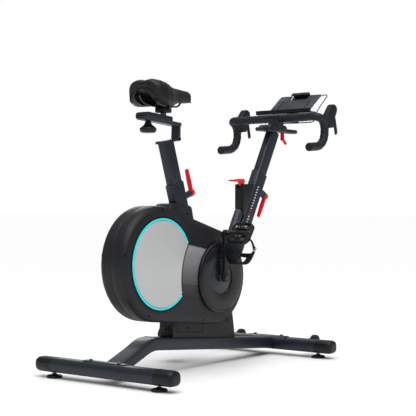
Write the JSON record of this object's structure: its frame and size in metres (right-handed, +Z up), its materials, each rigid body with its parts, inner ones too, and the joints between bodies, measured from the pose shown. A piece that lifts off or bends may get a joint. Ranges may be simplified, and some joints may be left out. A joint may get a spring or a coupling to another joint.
{
  "type": "indoor spin bike",
  "caption": "Indoor cycling trainer: enclosed flywheel drive on two stabilisers, sliding saddle, drop handlebar with brake levers, tablet tray and toe-cage pedals.",
  "frame": {"origin": "on the floor, under the middle of the whole bike's box", "axes": "+X forwards, from the saddle towards the handlebar; +Y to the rider's left; +Z up"},
  "size_m": [1.3438, 0.636, 1.1151],
  "materials": {
    "frame_paint": "satin powder coat, blue-black",
    "shell_plastic": "fine moulded texture, charcoal",
    "black_plastic": "matt moulded black",
    "crank_alloy": "black anodised",
    "silver_panel": "satin silver lacquer",
    "mesh_film": "silver mesh pattern fading to black",
    "light_guide": "diffusing light guide, cyan",
    "lever_red": "red moulded lever",
    "bare_steel": "turned steel",
    "rubber": "matt rubber and bar tape",
    "saddle_cover": "stitched synthetic leather"
  },
  "bodies": {
    "root": {"rear_stabilizer": "frame_paint", "rear_cap_right": "black_plastic", "rear_cap_left": "black_plastic", "rear_mount_plate": "frame_paint", "front_stabilizer": "frame_paint", "front_cap_right": "black_plastic", "front_cap_left": "black_plastic", "front_mount_plate": "frame_paint", "main_beam": "frame_paint", "rear_leg": "frame_paint", "casing_right": "shell_plastic", "casing_left": "shell_plastic", "led_ring_right": "light_guide", "led_ring_left": "light_guide", "side_disc_right": "silver_panel", "side_disc_left": "silver_panel", "mesh_panel_right": "mesh_film", "mesh_panel_left": "mesh_film", "crank_cover_right": "black_plastic", "crank_cover_left": "black_plastic", "seat_tube_cover": "shell_plastic", "pedestal_cover": "shell_plastic", "power_inlet": "black_plastic", "frame_spine": "frame_paint", "seat_tube": "frame_paint", "front_tube": "frame_paint", "support_tube": "frame_paint", "brake_housing": "black_plastic"},
    "flywheel": {"flywheel": "bare_steel"},
    "crankset": {"crank_spindle": "bare_steel", "crank_arm_right": "crank_alloy", "crank_arm_left": "crank_alloy"},
    "pedal_right": {"pedal_right": "black_plastic", "toe_cage_right": "black_plastic"},
    "pedal_left": {"pedal_left": "black_plastic", "toe_cage_left": "black_plastic"},
    "seat_post": {"seat_post": "frame_paint"},
    "seat_lever": {"seat_lever": "lever_red"},
    "seat_carriage": {"seat_carriage": "frame_paint"},
    "seat_knob": {"seat_knob": "black_plastic"},
    "saddle": {"saddle_clamp": "bare_steel", "saddle": "saddle_cover"},
    "bar_post": {"bar_post": "frame_paint"},
    "bar_lever": {"bar_lever": "lever_red"},
    "bar_carriage": {"bar_carriage": "frame_paint", "handlebar": "rubber", "brake_hood_right": "rubber", "brake_hood_left": "rubber", "tablet_tray": "black_plastic"},
    "slide_lever": {"slide_lever": "lever_red"},
    "brake_lever_right": {"brake_lever_right": "black_plastic"},
    "brake_lever_left": {"brake_lever_left": "black_plastic"},
    "tablet_clip": {"tablet_clip": "black_plastic"},
    "stop_paddle": {"stop_paddle": "lever_red"},
    "rear_foot_right": {"rear_foot_right": "rubber"},
    "rear_foot_left": {"rear_foot_left": "rubber"},
    "front_foot_right": {"front_foot_right": "rubber"},
    "front_foot_left": {"front_foot_left": "rubber"},
    "transport_wheel_right": {"transport_wheel_right": "rubber"},
    "transport_wheel_left": {"transport_wheel_left": "rubber"}
  },
  "joints": [
    {"name": "flywheel_spin", "type": "hinge", "parent": "root", "child": "flywheel", "pos_m": [-0.396, 0, 0.407], "axis": [0, 1, 0], "continuous": true},
    {"name": "crank_spin", "type": "hinge", "parent": "root", "child": "crankset", "pos_m": [-0.054, 0, 0.343], "axis": [0, 1, 0], "continuous": true},
    {"name": "pedal_right_spin", "type": "hinge", "parent": "crankset", "child": "pedal_right", "pos_m": [-0.054, -0.165, 0.513], "axis": [0, 1, 0], "continuous": true},
    {"name": "pedal_left_spin", "type": "hinge", "parent": "crankset", "child": "pedal_left", "pos_m": [-0.054, 0.165, 0.173], "axis": [0, 1, 0], "continuous": true},
    {"name": "seat_height", "type": "slide", "parent": "root", "child": "seat_post", "axis": [-0.3173, 0, 0.9483], "range_m": [-0.09, 0.08]},
    {"name": "seat_lever_turn", "type": "hinge", "parent": "root", "child": "seat_lever", "pos_m": [-0.15996, 0, 0.66443], "axis": [0.9483, 0, 0.3173], "range_deg": [-100, 100]},
    {"name": "seat_slide", "type": "slide", "parent": "seat_post", "child": "seat_carriage", "axis": [0.9976, 0, -0.0698], "range_m": [-0.025, 0.045]},
    {"name": "seat_knob_turn", "type": "hinge", "parent": "seat_carriage", "child": "seat_knob", "pos_m": [-0.405, 0, 0.91], "axis": [0, 0, 1], "continuous": true},
    {"name": "saddle_tilt", "type": "hinge", "parent": "seat_carriage", "child": "saddle", "pos_m": [-0.318, 0, 0.978], "axis": [0, 1, 0], "range_deg": [-8, 8]},
    {"name": "bar_height", "type": "slide", "parent": "root", "child": "bar_post", "axis": [0.4924, 0, 0.8704], "range_m": [-0.12, 0.08]},
    {"name": "bar_lever_turn", "type": "hinge", "parent": "root", "child": "bar_lever", "pos_m": [0.33895, 0, 0.66203], "axis": [0.8704, 0, -0.4924], "range_deg": [-100, 100]},
    {"name": "bar_slide", "type": "slide", "parent": "bar_post", "child": "bar_carriage", "axis": [1, 0, 0], "range_m": [0, 0.08]},
    {"name": "slide_lever_turn", "type": "hinge", "parent": "bar_carriage", "child": "slide_lever", "pos_m": [0.482, 0, 0.912], "axis": [0, 0, 1], "range_deg": [-90, 90]},
    {"name": "brake_lever_right_pull", "type": "hinge", "parent": "bar_carriage", "child": "brake_lever_right", "pos_m": [0.525, -0.222, 1.008], "axis": [0, 1, 0], "range_deg": [0, 20], "stiffness_Nm_per_rad": 1.5},
    {"name": "brake_lever_left_pull", "type": "hinge", "parent": "bar_carriage", "child": "brake_lever_left", "pos_m": [0.525, 0.222, 1.008], "axis": [0, 1, 0], "range_deg": [0, 20], "stiffness_Nm_per_rad": 1.5},
    {"name": "tablet_clip_pull", "type": "slide", "parent": "bar_carriage", "child": "tablet_clip", "axis": [0.8028, 0, 0.5962], "range_m": [0, 0.05], "stiffness_N_per_m": 150},
    {"name": "stop_paddle_press", "type": "hinge", "parent": "root", "child": "stop_paddle", "pos_m": [0.176, 0, 0.703], "axis": [0, 1, 0], "range_deg": [-12, 0], "stiffness_Nm_per_rad": 2},
    {"name": "rear_foot_right_turn", "type": "hinge", "parent": "root", "child": "rear_foot_right", "pos_m": [-0.636, -0.244, 0.01], "axis": [0, 0, 1], "continuous": true},
    {"name": "rear_foot_left_turn", "type": "hinge", "parent": "root", "child": "rear_foot_left", "pos_m": [-0.636, 0.244, 0.01], "axis": [0, 0, 1], "continuous": true},
    {"name": "front_foot_right_turn", "type": "hinge", "parent": "root", "child": "front_foot_right", "pos_m": [0.375, -0.244, 0.01], "axis": [0, 0, 1], "continuous": true},
    {"name": "front_foot_left_turn", "type": "hinge", "parent": "root", "child": "front_foot_left", "pos_m": [0.375, 0.244, 0.01], "axis": [0, 0, 1], "continuous": true},
    {"name": "transport_wheel_right_roll", "type": "hinge", "parent": "root", "child": "transport_wheel_right", "pos_m": [0.442, -0.187, 0.06], "axis": [0, 1, 0], "continuous": true},
    {"name": "transport_wheel_left_roll", "type": "hinge", "parent": "root", "child": "transport_wheel_left", "pos_m": [0.442, 0.187, 0.06], "axis": [0, 1, 0], "continuous": true}
  ],
  "couplings": [
    {"joint": "crank_spin", "follows": "flywheel_spin", "ratio": 0.33333}
  ]
}
